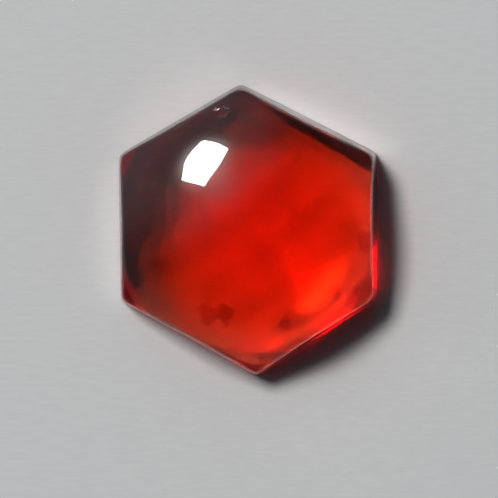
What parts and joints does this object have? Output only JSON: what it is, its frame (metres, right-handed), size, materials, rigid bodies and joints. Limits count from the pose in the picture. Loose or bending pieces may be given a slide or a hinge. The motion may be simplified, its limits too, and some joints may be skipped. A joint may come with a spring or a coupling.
{
  "type": "garnet cabochon",
  "caption": "Polished hexagonal garnet cabochon with a flat back, a low leaning girdle wall and a smooth domed top, for setting in jewellery.",
  "frame": {"origin": "middle of the flat back, under the middle of the stone's bounding box", "axes": "+Z out of the back and up through the dome; +Y towards one corner, along the corner-to-corner length; +X out of a straight side"},
  "size_m": [0.013, 0.0144, 0.0043],
  "materials": {
    "garnet": "polished clear red garnet, vitreous, with a satin ground girdle wall"
  },
  "bodies": {
    "root": {"stone": "garnet"}
  },
  "joints": []
}
